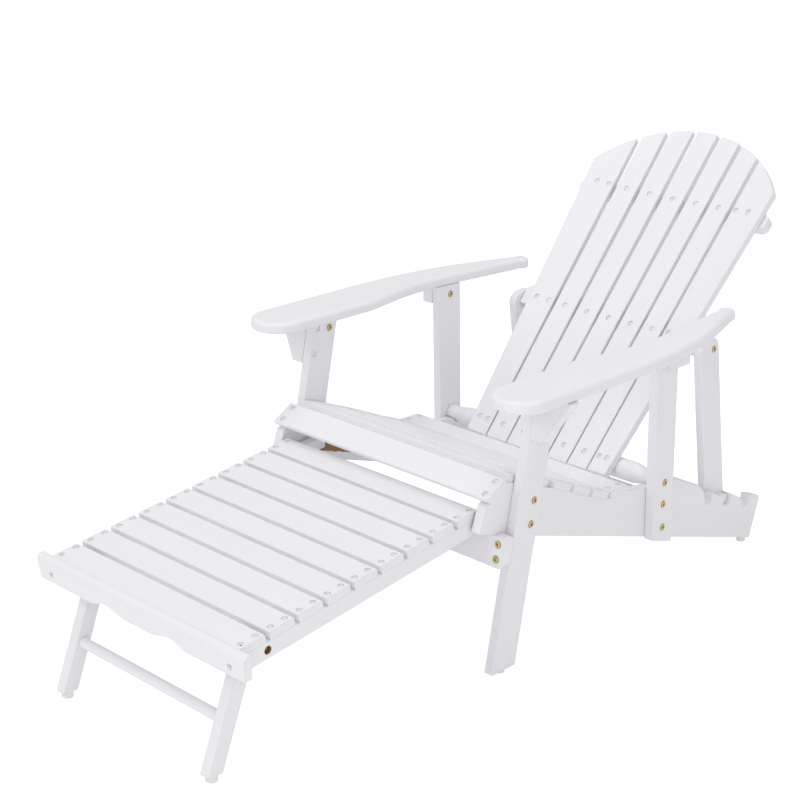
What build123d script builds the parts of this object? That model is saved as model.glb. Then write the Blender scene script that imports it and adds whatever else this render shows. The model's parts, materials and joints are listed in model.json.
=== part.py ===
from build123d import *
from math import atan, atan2, cos, hypot, radians, sin, sqrt
import os

os.makedirs("parts", exist_ok=True)

# ---------------------------------------------------------------- driving dimensions, mm
DATUM = 33.67             # moves the chair along Y so that the origin is under its middle
BOARD = 20                # thickness of rails, legs and posts
RAIL_IN = 250             # inner face of a side rail, from the middle of the chair
LEG_IN = RAIL_IN + BOARD
LEG_OUT = LEG_IN + BOARD
EASE = 2                  # rounding of the long edges of the boards
ARM_UNDER = 520           # height of the underside of the arms
ARM_THICK = 22

RAIL_SLOPE = 0.3185       # fall of the side rail per mm towards the rear
RAIL_HEEL = (612, 5)      # a point of the rail's bottom line
RAIL_NOSE = -262          # front end of the bottom line
RAIL_TAIL = 614
NOTCH_BOTTOMS = ((447, 130), (516.5, 107), (586, 84))
NOTCH_R = 12.5
NOTCH_ENTRY = ((0.75, -0.65), (0.05, -1))  # directions of the curve that leads into a notch
CROWN = 99                # height of the crowns between the notches over the bottom line
CROWN_BACK = 14           # each crown behind the bottom of its notch
LAND_BEFORE = 40          # end of a crown's flat in front of the next notch
LAND_FALL = 8
RAIL_DIP = ((176, 240), (225, 232), (322, 222), (410, 182))  # rail's top line behind the seat
TAIL_ROUND = 12
SADDLE_R = 17.5

SLAT_W = 54
SLAT_PITCH = 63
SLAT_THICK = 15
SEAT_START = (-245.3, 330.9)
SEAT_TILTS = (30, -18, -23, -23, -24, -22, -2)
SEAT_HALF = (275, 268, 268, 275, 275, 275, 275)
SEAT_SCREW_X = 260

RAKE = 0.18               # lean of the front legs, mm per mm of height
LEG_FRONT = -239          # front edge of the leg at floor level
LEG_W = 63
POST_MID = 268
POST_LEAN = -0.045
POST_W = 65
POST_LOW = 115            # height at which the post's lower corners are set out
POST_DROP = 3             # how far the post reaches below the rail
FOOT = 6                  # height of the glide under a front leg

STRETCHER_THICK = 32
STRETCHER_Z = (214, 271)
STRETCHER_BACK = -204     # rear end of its top edge
STRETCHER_STEP = 9        # height of the lip behind the legs' front edges
RAIL_WINDOW = (-250, -180, 300)  # y from, y to and top of the cut-outs for the rails
REAR_STRETCHER = (352, 372, 100, 156)  # y from, y to, z from, z to

# armrest outline for the left side, x and y
ARM_FRONT = ((253, -204), (307, -258))
ARM_OUTER = ((361, -204), (363, 0), (351, 220), (318, 360), (284, 462))
ARM_REAR = (266, 483)
ARM_INNER = ((253, 452), (264, 350), (277, 180), (267, 75), (253, -20))
ARM_TOP_ROUND = 9
ARM_SOLE_ROUND = 4
CORBEL_THICK = 22
CORBEL_LOW = 440
CORBEL_FOOT = 27          # reach outwards of its lower end
CORBEL_HEAD = 76          # and of its upper end
CORBEL_LIP = 10
CLEAT = 26
CLEAT_LOW = 484
FRONT_CLEAT = (-121, -88)
REAR_CLEAT = (213, 278)
NOSE_BEVEL = 7            # under the front edge of the first seat slat
GLIDE_R = BOARD / 2 - 1
REAR_GLIDE_Y = 598
GLIDE_WINDOW = (40, 60)   # half length and top of the cut along the rail's bottom line

HINGE = (260, 238)        # backrest hinge, y and z
RECLINE = 42.4            # lean of the backrest from the vertical, degrees
BACK_R = 1500             # radius of the hollow of the backrest
BACK_FACE = 9.5           # back faces of the slats in front of the hinge plane
BACK_THICK = 16
BACK_FOOT = -35
CROWN_R = 284             # radius of the rounded top of the backrest
CROWN_V = 473             # its centre, up the back from the hinge
SCREW_ROWS = (0, 291, 587.5)
MID_RAIL = (273.5, 318.5)
TOP_RAIL = (561, 595)
ROD_R = 21
ROD_END_R = 16
ROD_HALF = LEG_IN - 0.5
ROD_BODY_HALF = 220
ROD_TAPER = 22
FLAT_HALF = 235           # flats on the rod for the slats, half length and half height
FLAT_RISE = 30
FLAT_DEEP = 60
MID_HALF = 230
MID_BACK = -12            # rear face of the middle rail, off the hinge plane
MID_ROUND = 14            # its upper corners
TOP_HALF = 238
TOP_THICK = 22
TOP_ROUND = 12

BAIL_PIVOT = (458, 456)
BAIL_ROD = (516.5, 119.8)
BAIL_ROD_R = 11
BAIL_ROD_HALF = 263       # its ends stand back from the rails' outer faces
BAIL_IN = 231
BAIL_THICK = 18
BAIL_SPAN = (-46, 18)     # front and rear edge of an arm, from its pivot
BAIL_OVER = 24            # length of an arm over its pivot
BAIL_UNDER = 20           # and under its rod
BAIL_TOP_ROUND = 22
BAIL_LOW_ROUND = 8
ROD_CHAMFER = 1.5

OTTO_START = (-783, 249)  # a point of the ottoman's top surface, y and z
OTTO_RISE = 0.1258        # its rise per mm towards the rear
OTTO_FIRST = -11.6        # front edge of its first slat
OTTO_PITCH = 63.2
OTTO_SLATS = 9
OTTO_HALF = 245
OTTO_DEEP = 45            # slats and rails together
OTTO_TAIL = 623
OTTO_TAIL_TOP = 22
OTTO_TAIL_STEP = (4, 14)  # where the rail's top edge steps down behind the last slat
OTTO_TAIL_ROUND = 14
APRON_THICK = 16
APRON_HALF = 272
APRON_TAPER = 4
APRON_ROUND = 11
APRON_ARCH = ((90, -34), (46, -43))  # points of the shaped lower edge
APRON_ARCH_HALF = 130
APRON_SCREW_OFF = -28
OTTO_SCREW_X = 234
OLEG_PIVOT = (44, -29.8)  # along the ottoman and below its top surface
OLEG_FOOT = (-815, 12)
OLEG_IN = 182
OLEG_THICK = 23
OLEG_W = 28
OLEG_ROD_AT = 136
OLEG_ROD_R = 10
OLEG_TENON_R = 7
OLEG_TENON = 12
OLEG_BLANK = 300          # longer than the leg, which is cut off level above its glide
OLEG_GLIDE_R = 10.5
SPACER_R = 9              # between foot rest rail and leg
RECESS_R = 7.5            # round the leg bolts' heads
RECESS = 12
BOLT_END = 4              # how far the leg bolts reach out of the legs' inner faces

GLIDE_ROD_Y = -213
GLIDE_ROD_R = 6
GLIDE_ROD_HALF = RAIL_IN - 3
GROOVE_GAP = 0.05         # between the glide rod and its groove
GAP = 0.3

SHANK_R = 4
BORE_R = 4.05
HEAD_R = 6.3
HEAD = 5
SINK_R = 7
SINK = 3
CLEAR = 1                 # extra depth of a hole over its fastener or its board
THROUGH = BOARD + CLEAR
SCREW_R = 2.4
PILOT_R = 2.5
SCREW_HEAD_R = 4.8
SCREW_SINK_R = 5.5
SCREW_SINK = 2
SCREW_HEAD = 1.2
SCREW_STEP = 15.4         # screws each side of a slat's middle

# fasteners by the depth of their holes, and their places in y and z
SLAT_SCREW = SLAT_THICK + 18
BACK_SCREW = BACK_THICK + 14
APRON_SCREW = APRON_THICK + 26
CORBEL_SCREW = BOARD + 21
LEG_BOLT = BOARD + 15
STRETCHER_BOLT = STRETCHER_THICK + 22
CLEAT_BOLT = BOARD + 19
PIVOT_BOLT = 53
BAIL_BOLT = BAIL_THICK + 35
CORBEL_SCREWS = ((-135, 509), (-145, 459))
FRONT_LEG_BOLTS = ((-139, 319), (-146, 275))
POST_BOLTS = ((259, 193), (262, 143))
FRONT_CLEAT_BOLT = (-104, 505)
REAR_CLEAT_BOLT = (247, 502)
STRETCHER_BOLT_X = 281
STRETCHER_BOLT_Z = (257, 230)

LOW = (Align.CENTER, Align.CENTER, Align.MAX)
HIGH = (Align.CENTER, Align.CENTER, Align.MIN)
SIDES = ((1, "left"), (-1, "right"))


# ---------------------------------------------------------------- planes and shared cuts
def side_plane(x):
    return Plane(origin=(x, DATUM, 0), x_dir=(0, 1, 0), z_dir=(1, 0, 0))


def rail_line(y):
    return RAIL_HEEL[1] + (RAIL_HEEL[0] - y) * RAIL_SLOPE


def on_face(x, y, z, side):
    """The seat of a fastener on a face that looks along side times X."""
    return Plane(origin=(x, y + DATUM, z), x_dir=(0, 1, 0), z_dir=(side, 0, 0))


def cut_hole(seat, radius, depth):
    with Locations(seat):
        Cylinder(radius, depth, align=LOW, mode=Mode.SUBTRACT)


def cut_bolt(seat, depth, bore=BORE_R):
    with Locations(seat):
        Cylinder(SINK_R, SINK, align=LOW, mode=Mode.SUBTRACT)
        Cylinder(bore, depth, align=LOW, mode=Mode.SUBTRACT)


def add_bolt(seat, depth):
    """A bolt for a hole of this depth."""
    with Locations(seat.offset(-SINK)):
        Cylinder(HEAD_R, HEAD, align=HIGH)
        Cylinder(SHANK_R, depth - CLEAR - SINK, align=LOW)


def cut_screw(seat, depth):
    with Locations(seat):
        Cylinder(SCREW_SINK_R, SCREW_SINK, align=LOW, mode=Mode.SUBTRACT)
        Cylinder(PILOT_R, depth, align=LOW, mode=Mode.SUBTRACT)


def add_screw(seat, depth):
    """A screw for a hole of this depth."""
    with Locations(seat.offset(-SCREW_SINK)):
        Cylinder(SCREW_HEAD_R, SCREW_HEAD, align=HIGH)
        Cylinder(SCREW_R, depth - CLEAR - SCREW_SINK, align=LOW)


def save(builder, name):
    builder.part.label = name
    export_step(builder.part, f"parts/{name}.step")


# ---------------------------------------------------------------- seat facets
seat_planes = []
seat_points = [SEAT_START]
for tilt in SEAT_TILTS:
    y, z = seat_points[-1]
    along = (0, cos(radians(tilt)), sin(radians(tilt)))
    seat_planes.append(Plane(origin=(0, y + DATUM, z), x_dir=along, z_dir=(1, 0, 0)))
    seat_points.append((y + SLAT_PITCH * along[1], z + SLAT_PITCH * along[2]))

SLAT_MID = SLAT_PITCH / 2


def seat_screws(index, side):
    """The seats of the two screws at one end of a seat slat."""
    frame = seat_planes[index]
    seats = []
    for offset in (-SCREW_STEP, SCREW_STEP):
        local = frame.from_local_coords((SLAT_MID + offset, SLAT_THICK, side * SEAT_SCREW_X))
        seats.append(Plane(origin=local, x_dir=(1, 0, 0), z_dir=frame.y_dir))
    return seats


# ---------------------------------------------------------------- planes along the raked legs
rake_long = hypot(1, RAKE)
RAKE_OUT = (0, -1 / rake_long, RAKE / rake_long)


def rake_plane(x, z, shift):
    """A plane parallel to the legs' front edges, shift mm in front of them."""
    origin = (x, LEG_FRONT - shift + RAKE * z + DATUM, z)
    return Plane(origin=origin, x_dir=(1, 0, 0), z_dir=RAKE_OUT)


def stretcher_bolts(side):
    return [rake_plane(side * STRETCHER_BOLT_X, z, STRETCHER_THICK) for z in STRETCHER_BOLT_Z]


# ---------------------------------------------------------------- side rails
crowns = []
for bottom_y, bottom_z in NOTCH_BOTTOMS:
    crown_y = bottom_y + CROWN_BACK
    crowns.append((crown_y, rail_line(crown_y) + CROWN))
tail_out = (RAIL_SLOPE / hypot(1, RAIL_SLOPE), 1 / hypot(1, RAIL_SLOPE))
tail_high = CROWN * tail_out[1]
tail_top = (RAIL_TAIL + tail_high * tail_out[0], rail_line(RAIL_TAIL) + tail_high * tail_out[1])

for side, name in SIDES:
    with BuildPart() as side_rail:
        with BuildSketch(side_plane(side * RAIL_IN)):
            with BuildLine():
                head = Polyline(
                    (RAIL_NOSE, rail_line(RAIL_NOSE)), *seat_points, *RAIL_DIP,
                )
                last = head @ 1
                for index, (bottom_y, bottom_z) in enumerate(NOTCH_BOTTOMS):
                    front = (bottom_y - NOTCH_R, bottom_z + NOTCH_R)
                    back = (bottom_y + NOTCH_R, bottom_z + NOTCH_R)
                    Spline(last, front, tangents=NOTCH_ENTRY)
                    ThreePointArc(front, (bottom_y, bottom_z), back)
                    if index < len(crowns) - 1:
                        land = (NOTCH_BOTTOMS[index + 1][0] - LAND_BEFORE, crowns[index][1] - LAND_FALL)
                        Polyline(back, crowns[index], land)
                        last = land
                    else:
                        Polyline(back, crowns[index], tail_top)
                Polyline(tail_top, (RAIL_TAIL, rail_line(RAIL_TAIL)), head @ 0)
            make_face()
            heel = vertices().sort_by_distance((tail_top[0], tail_top[1], 0))[0]
            fillet(heel, radius=TAIL_ROUND)
        extrude(amount=side * BOARD)
        with Locations(on_face(side * RAIL_IN, *HINGE, 1)):
            Cylinder(SADDLE_R, 3 * BOARD, mode=Mode.SUBTRACT)
        for index in range(len(SEAT_TILTS)):
            for seat in seat_screws(index, side):
                cut_screw(seat, SLAT_SCREW)
        for y, z in FRONT_LEG_BOLTS + POST_BOLTS:
            cut_hole(on_face(side * LEG_IN, y, z, side), BORE_R, LEG_BOLT - BOARD)
    save(side_rail, f"side_rail_{name}")

# ---------------------------------------------------------------- legs, posts and stretchers
leg_top_y = LEG_FRONT + RAKE * ARM_UNDER
leg_foot_y = LEG_FRONT + RAKE * FOOT

for side, name in SIDES:
    with BuildPart() as front_leg:
        with BuildSketch(side_plane(side * LEG_IN)):
            with BuildLine():
                Polyline(
                    (leg_top_y, ARM_UNDER), (leg_top_y + LEG_W, ARM_UNDER),
                    (leg_foot_y + LEG_W, FOOT), (leg_foot_y, FOOT),
                    close=True,
                )
            make_face()
        extrude(amount=side * BOARD)
        upright = front_leg.faces().filter_by(Axis.X).edges()
        fillet(upright.filter_by(lambda edge: abs((edge % 0.5).Z) > 0.5), radius=EASE)
        for y, z in FRONT_LEG_BOLTS:
            cut_bolt(on_face(side * LEG_OUT, y, z, side), THROUGH)
        for seat in stretcher_bolts(side):
            cut_hole(seat, BORE_R, STRETCHER_BOLT)
        for y, z in CORBEL_SCREWS:
            cut_screw(on_face(side * LEG_IN, y, z, -side), THROUGH)
        cut_bolt(on_face(side * LEG_IN, *FRONT_CLEAT_BOLT, -side), THROUGH)
    save(front_leg, f"front_leg_{name}")


def post_y(z):
    return POST_MID + POST_LEAN * z


post_front_top = post_y(ARM_UNDER) - POST_W / 2
post_front_low = post_y(POST_LOW) - POST_W / 2
post_rear_low = post_front_low + POST_W

for side, name in SIDES:
    with BuildPart() as rear_post:
        with BuildSketch(side_plane(side * LEG_IN)):
            with BuildLine():
                Polyline(
                    (post_front_top, ARM_UNDER),
                    (post_front_top + POST_W, ARM_UNDER),
                    (post_rear_low, rail_line(post_rear_low) - POST_DROP),
                    (post_front_low, rail_line(post_front_low) - POST_DROP),
                    close=True,
                )
            make_face()
        extrude(amount=side * BOARD)
        upright = rear_post.faces().filter_by(Axis.X).edges()
        fillet(upright.filter_by(lambda edge: abs((edge % 0.5).Z) > 0.5), radius=EASE)
        for y, z in POST_BOLTS + (HINGE,):
            cut_bolt(on_face(side * LEG_OUT, y, z, side), THROUGH)
        cut_bolt(on_face(side * LEG_IN, *REAR_CLEAT_BOLT, -side), THROUGH)
    save(rear_post, f"rear_post_{name}")

glide_rod_z = (
    OTTO_START[1] + (GLIDE_ROD_Y - OTTO_START[0]) * OTTO_RISE
    - (OTTO_DEEP + GLIDE_ROD_R + GAP) * hypot(1, OTTO_RISE)
)
low_z, high_z = STRETCHER_Z
with BuildPart() as front_stretcher:
    with BuildSketch(side_plane(-LEG_OUT)):
        with BuildLine():
            Polyline(
                (LEG_FRONT + RAKE * low_z, low_z),
                (LEG_FRONT - STRETCHER_THICK + RAKE * low_z, low_z),
                (LEG_FRONT - STRETCHER_THICK + RAKE * high_z, high_z),
                (STRETCHER_BACK, high_z),
                (LEG_FRONT + RAKE * (high_z - STRETCHER_STEP), high_z - STRETCHER_STEP),
                close=True,
            )
        make_face()
    extrude(amount=2 * LEG_OUT)
    front_edges = front_stretcher.edges().filter_by(Axis.X).sort_by(Axis.Y)[:2]
    fillet(front_edges, radius=EASE)
    with BuildSketch(side_plane(-GLIDE_ROD_HALF - CLEAR)):
        with Locations((GLIDE_ROD_Y, glide_rod_z)):
            Circle(GLIDE_ROD_R + GROOVE_GAP)
    extrude(amount=2 * (GLIDE_ROD_HALF + CLEAR), mode=Mode.SUBTRACT)
    window_front, window_back, window_top = RAIL_WINDOW
    for side in (1, -1):
        with BuildSketch(side_plane(side * (RAIL_IN - CLEAR / 2))):
            with BuildLine():
                Polyline(
                    (window_front, rail_line(window_front)), (window_back, rail_line(window_back)),
                    (window_back, window_top), (window_front, window_top),
                    close=True,
                )
            make_face()
        extrude(amount=side * THROUGH, mode=Mode.SUBTRACT)
        for seat in stretcher_bolts(side):
            cut_bolt(seat, STRETCHER_BOLT)
save(front_stretcher, "front_stretcher")

front_y, back_y, low_z, high_z = REAR_STRETCHER
with BuildPart() as rear_stretcher:
    with BuildSketch(side_plane(-RAIL_IN)):
        with Locations(((front_y + back_y) / 2, (low_z + high_z) / 2)):
            RectangleRounded(back_y - front_y, high_z - low_z, EASE)
    extrude(amount=2 * RAIL_IN)
save(rear_stretcher, "rear_stretcher")

# ---------------------------------------------------------------- arms and their supports
for side, name in SIDES:
    with BuildPart() as armrest:
        with BuildSketch(Plane(origin=(0, DATUM, ARM_UNDER), x_dir=(side, 0, 0), z_dir=(0, 0, side))):
            with BuildLine():
                outer = Spline(*ARM_OUTER, tangents=((0, 1), (-0.33, 1)))
                inner = Spline(*ARM_INNER, tangents=((0.1, -1), (0, -1)))
                ThreePointArc(outer @ 1, ARM_REAR, inner @ 0)
                Line(inner @ 1, ARM_FRONT[0])
                ThreePointArc(*ARM_FRONT, outer @ 0)
            make_face()
        extrude(amount=side * ARM_THICK)
        rim = armrest.edges().group_by(Axis.Z)[-1]
        fillet(rim, radius=ARM_TOP_ROUND)
        sole = armrest.edges().group_by(Axis.Z)[0]
        fillet(sole, radius=ARM_SOLE_ROUND)
    save(armrest, f"armrest_{name}")

low_t = CORBEL_LOW * rake_long
high_t = (ARM_UNDER + CORBEL_LIP) * rake_long
for side, name in SIDES:
    with BuildPart() as arm_corbel:
        with BuildSketch(rake_plane(0, 0, 0)):
            with BuildLine():
                foot_x = side * (LEG_OUT + CORBEL_FOOT)
                head_x = side * (LEG_OUT + CORBEL_HEAD)
                Polyline(
                    (side * LEG_OUT, low_t), (foot_x, low_t),
                    (head_x, high_t - CORBEL_LIP), (head_x, high_t),
                    (side * LEG_OUT, high_t),
                    close=True,
                )
            make_face()
        extrude(amount=-CORBEL_THICK)
        split(bisect_by=Plane.XY.offset(ARM_UNDER), keep=Keep.BOTTOM)
        for y, z in CORBEL_SCREWS:
            cut_hole(on_face(side * LEG_IN, y, z, -side), PILOT_R, CORBEL_SCREW)
    save(arm_corbel, f"arm_corbel_{name}")

with BuildPart() as arm_cleats:
    for side in (1, -1):
        for (front_y, back_y), bolt in ((FRONT_CLEAT, FRONT_CLEAT_BOLT), (REAR_CLEAT, REAR_CLEAT_BOLT)):
            middle = ((front_y + back_y) / 2, (CLEAT_LOW + ARM_UNDER) / 2)
            with BuildSketch(side_plane(side * LEG_OUT)):
                with Locations(middle):
                    Rectangle(back_y - front_y, ARM_UNDER - CLEAT_LOW)
            extrude(amount=side * CLEAT)
            cut_hole(on_face(side * LEG_IN, *bolt, -side), BORE_R, CLEAT_BOLT)
save(arm_cleats, "arm_cleats")

# ---------------------------------------------------------------- seat slats
for index, half in enumerate(SEAT_HALF):
    with BuildPart() as seat_slat:
        with BuildSketch(seat_planes[index]):
            with Locations((SLAT_MID, SLAT_THICK / 2)):
                RectangleRounded(SLAT_W, SLAT_THICK, EASE)
            if index == 0:
                with BuildLine():
                    nose = SLAT_MID - SLAT_W / 2 - CLEAR
                    reach = NOSE_BEVEL + 2 * CLEAR
                    Polyline(
                        (nose, -CLEAR), (nose + reach, -CLEAR), (nose, reach - CLEAR),
                        close=True,
                    )
                make_face(mode=Mode.SUBTRACT)
        extrude(amount=half, both=True)
        for side in (1, -1):
            for seat in seat_screws(index, side):
                cut_screw(seat, SLAT_SCREW)
    save(seat_slat, f"seat_slat_{index + 1}")

# ---------------------------------------------------------------- fasteners and glides of the frame
with BuildPart() as frame_screws:
    for side in (1, -1):
        for index in range(len(SEAT_TILTS)):
            for seat in seat_screws(index, side):
                add_screw(seat, SLAT_SCREW)
        for y, z in CORBEL_SCREWS:
            add_screw(on_face(side * LEG_IN, y, z, -side), CORBEL_SCREW)
save(frame_screws, "frame_screws")

with BuildPart() as frame_bolts:
    for side in (1, -1):
        for y, z in FRONT_LEG_BOLTS + POST_BOLTS:
            add_bolt(on_face(side * LEG_OUT, y, z, side), LEG_BOLT)
        for seat in stretcher_bolts(side):
            add_bolt(seat, STRETCHER_BOLT)
        for bolt in (FRONT_CLEAT_BOLT, REAR_CLEAT_BOLT):
            add_bolt(on_face(side * LEG_IN, *bolt, -side), CLEAT_BOLT)
save(frame_bolts, "frame_bolts")

with BuildPart() as back_pivot_bolts:
    for side in (1, -1):
        add_bolt(on_face(side * LEG_OUT, *HINGE, side), PIVOT_BOLT)
save(back_pivot_bolts, "back_pivot_bolts")

window_half, window_top = GLIDE_WINDOW
glide_front = REAR_GLIDE_Y - window_half
glide_back = REAR_GLIDE_Y + window_half
with BuildPart() as chair_glides:
    for side in (1, -1):
        with Locations((side * (LEG_IN + BOARD / 2), leg_foot_y + LEG_W / 2 + DATUM, 0)):
            Cylinder(GLIDE_R, FOOT, align=HIGH)
        with Locations((side * (RAIL_IN + BOARD / 2), REAR_GLIDE_Y + DATUM, 0)):
            Cylinder(GLIDE_R, window_top / 2, align=HIGH)
    with BuildSketch(side_plane(-LEG_OUT)):
        with BuildLine():
            Polyline(
                (glide_front, rail_line(glide_front)), (glide_back, rail_line(glide_back)),
                (glide_back, window_top), (glide_front, window_top),
                close=True,
            )
        make_face()
    extrude(amount=2 * LEG_OUT, mode=Mode.SUBTRACT)
save(chair_glides, "chair_glides")

# ---------------------------------------------------------------- backrest
lean = radians(RECLINE)
UP_BACK = (0, sin(lean), cos(lean))
OFF_BACK = (0, -cos(lean), sin(lean))
back_plane = Plane(
    origin=(0, HINGE[0] + DATUM, HINGE[1]), x_dir=(1, 0, 0), z_dir=OFF_BACK,
)
SLAT_MIDS = (0, 57.2, 113.8, 167)
# per slat from the middle outwards: inner edge and its spread, outer edge and its spread
SLAT_EDGES = (
    (-25, 0, 25, 0),
    (29, 0.0106, 79, 0.0106),
    (82.8, 0.02, 132.8, 0.02),
    (136.4, 0.03, 185.5, 0.0716),
)
SLAT_SCREWS = (
    ((0,), (0,), (0,)),
    ((54,), (57,), (60,)),
    ((108,), (114.2,), (119,)),
    ((148, 168), (157, 188), (164, 195)),
)


def hollow(x):
    """How far the back face at a slat's middle stands in front of the hinge plane."""
    return BACK_FACE + x * x / (2 * BACK_R)


def slat_plane(step, side):
    mid = side * SLAT_MIDS[step]
    roll = atan(mid / BACK_R)
    origin = back_plane.from_local_coords((mid, 0, hollow(mid)))
    x_dir = (cos(roll), sin(roll) * OFF_BACK[1], sin(roll) * OFF_BACK[2])
    z_dir = (-sin(roll), cos(roll) * OFF_BACK[1], cos(roll) * OFF_BACK[2])
    return Plane(origin=origin, x_dir=x_dir, z_dir=z_dir)


def crown(x):
    return CROWN_V + sqrt(CROWN_R ** 2 - x ** 2)


def meet(inner, spread):
    """Where an edge of a slat reaches the rounded top."""
    v = crown(inner)
    for turn in range(4):
        v = crown(inner + spread * v)
    return (inner + spread * v, v)


def slat_screws(step, side):
    plane = slat_plane(step, side)
    stretch = sqrt(1 + (SLAT_MIDS[step] / BACK_R) ** 2)
    seats = []
    for row, v in enumerate(SCREW_ROWS):
        for x in SLAT_SCREWS[step][row]:
            local = (side * (x - SLAT_MIDS[step]) * stretch, v, BACK_THICK)
            origin = plane.from_local_coords(local)
            seats.append(Plane(origin=origin, x_dir=plane.x_dir, z_dir=plane.z_dir))
    return seats


def slat_number(step, side):
    return 4 - side * step


back_slat_list = [(0, 1)] + [(step, side) for step in (1, 2, 3) for side in (1, -1)]
all_back_seats = []
for step, side in back_slat_list:
    inner, inner_spread, outer, outer_spread = SLAT_EDGES[step]
    mid = SLAT_MIDS[step]
    top_in = meet(inner, inner_spread)
    top_out = meet(outer, outer_spread)
    top_mid_x = (top_in[0] + top_out[0]) / 2
    with BuildPart() as back_slat:
        with BuildSketch(slat_plane(step, side)):
            with BuildLine():
                foot_in = (side * (inner + inner_spread * BACK_FOOT - mid), BACK_FOOT)
                foot_out = (side * (outer + outer_spread * BACK_FOOT - mid), BACK_FOOT)
                head_in = (side * (top_in[0] - mid), top_in[1])
                head_out = (side * (top_out[0] - mid), top_out[1])
                Polyline(head_in, foot_in, foot_out, head_out)
                ThreePointArc(head_out, (side * (top_mid_x - mid), crown(top_mid_x)), head_in)
            make_face()
        extrude(amount=BACK_THICK)
        fillet(back_slat.edges(), radius=EASE)
        seats = slat_screws(step, side)
        for seat in seats:
            cut_screw(seat, BACK_SCREW)
    all_back_seats.extend(seats)
    save(back_slat, f"back_slat_{slat_number(step, side)}")


def facet_line(half):
    """The back faces of the slats as a line of x and w, from plus half to minus half."""
    right = []
    for step in range(3):
        near = SLAT_MIDS[step]
        brink = (near + SLAT_MIDS[step + 1]) / 2
        right.append((brink, hollow(near) + near / BACK_R * (brink - near)))
    last = SLAT_MIDS[3]
    right.append((half, hollow(last) + last / BACK_R * (half - last)))
    left = [(-x, w) for x, w in right]
    return list(reversed(right)) + left


def across_plane(v):
    """A plane square to the backrest's length, with local y as the way off its back."""
    origin = back_plane.from_local_coords((0, v, 0))
    return Plane(origin=origin, x_dir=(-1, 0, 0), z_dir=UP_BACK)


bail_out = BAIL_IN + BAIL_THICK
facing = Axis(back_plane.origin, back_plane.z_dir)
with BuildPart() as middle_back_rail:
    with BuildSketch(across_plane(MID_RAIL[0])):
        with BuildLine():
            Polyline((-MID_HALF, MID_BACK), (MID_HALF, MID_BACK), *facet_line(MID_HALF), close=True)
        make_face()
    extrude(amount=MID_RAIL[1] - MID_RAIL[0])
    end_edges = middle_back_rail.edges().filter_by(facing).sort_by(Axis.Z)[-2:]
    fillet(end_edges, radius=MID_ROUND)
    rear_face = middle_back_rail.faces().sort_by(facing)[0]
    fillet(rear_face.edges(), radius=EASE)
    for seat in all_back_seats:
        cut_hole(seat, PILOT_R, BACK_SCREW)
    for side in (1, -1):
        cut_hole(on_face(side * bail_out, *BAIL_PIVOT, side), BORE_R, BAIL_BOLT)
save(middle_back_rail, "middle_back_rail")

with BuildPart() as upper_back_rail:
    with BuildSketch(across_plane(TOP_RAIL[0])):
        with BuildLine():
            front_line = facet_line(TOP_HALF)
            back_line = [(x, w - TOP_THICK) for x, w in reversed(front_line)]
            Polyline(*front_line, *back_line, close=True)
        make_face()
    extrude(amount=TOP_RAIL[1] - TOP_RAIL[0])
    corners = upper_back_rail.edges().filter_by(lambda edge: abs(edge.center().X) > TOP_HALF - 1)
    fillet(corners.filter_by(facing), radius=TOP_ROUND)
    for seat in all_back_seats:
        cut_hole(seat, PILOT_R, BACK_SCREW)
save(upper_back_rail, "upper_back_rail")

with BuildPart() as lower_back_rod:
    with Locations(on_face(0, *HINGE, 1)):
        Cylinder(ROD_R, 2 * ROD_BODY_HALF)
        Cylinder(ROD_END_R, 2 * ROD_HALF)
    for side in (1, -1):
        with Locations(on_face(side * ROD_BODY_HALF, *HINGE, side)):
            Cone(ROD_R, ROD_END_R, ROD_TAPER, align=HIGH)
    with BuildSketch(across_plane(-FLAT_RISE)):
        with BuildLine():
            flats = [(-x, w) for x, w in facet_line(FLAT_HALF)]
            Polyline((-FLAT_HALF, FLAT_DEEP), *flats, (FLAT_HALF, FLAT_DEEP), close=True)
        make_face()
    extrude(amount=2 * FLAT_RISE, mode=Mode.SUBTRACT)
    for seat in all_back_seats:
        cut_hole(seat, PILOT_R, BACK_SCREW)
    for side in (1, -1):
        cut_hole(on_face(side * LEG_OUT, *HINGE, side), BORE_R, PIVOT_BOLT)
save(lower_back_rod, "lower_back_rod")

with BuildPart() as back_screws:
    for seat in all_back_seats:
        add_screw(seat, BACK_SCREW)
save(back_screws, "back_screws")

# ---------------------------------------------------------------- support bail behind the backrest
bail_down = atan2(BAIL_ROD[0] - BAIL_PIVOT[0], BAIL_PIVOT[1] - BAIL_ROD[1])
bail_length = hypot(BAIL_ROD[0] - BAIL_PIVOT[0], BAIL_PIVOT[1] - BAIL_ROD[1])


def bail_plane(x):
    """Local x runs rearwards across the arm and local y up along it, from the pivot."""
    return Plane(
        origin=(x, BAIL_PIVOT[0] + DATUM, BAIL_PIVOT[1]),
        x_dir=(0, cos(bail_down), sin(bail_down)),
        z_dir=(1, 0, 0),
    )


arm_front, arm_back = BAIL_SPAN
arm_low = -bail_length - BAIL_UNDER
for side, name in SIDES:
    with BuildPart() as support_arm:
        with BuildSketch(bail_plane(side * BAIL_IN)):
            with Locations(((arm_front + arm_back) / 2, (BAIL_OVER + arm_low) / 2)):
                Rectangle(arm_back - arm_front, BAIL_OVER - arm_low)
            fillet(vertices().group_by(Axis.Y)[-1], radius=BAIL_TOP_ROUND)
            fillet(vertices().group_by(Axis.Y)[0], radius=BAIL_LOW_ROUND)
        extrude(amount=side * BAIL_THICK)
        fillet(support_arm.faces().filter_by(Axis.X).edges(), radius=EASE)
        cut_bolt(on_face(side * bail_out, *BAIL_PIVOT, side), BAIL_THICK + CLEAR, SHANK_R)
        with Locations(on_face(0, *BAIL_ROD, 1)):
            Cylinder(BAIL_ROD_R, 2 * LEG_IN, mode=Mode.SUBTRACT)
    save(support_arm, f"support_arm_{name}")

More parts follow.
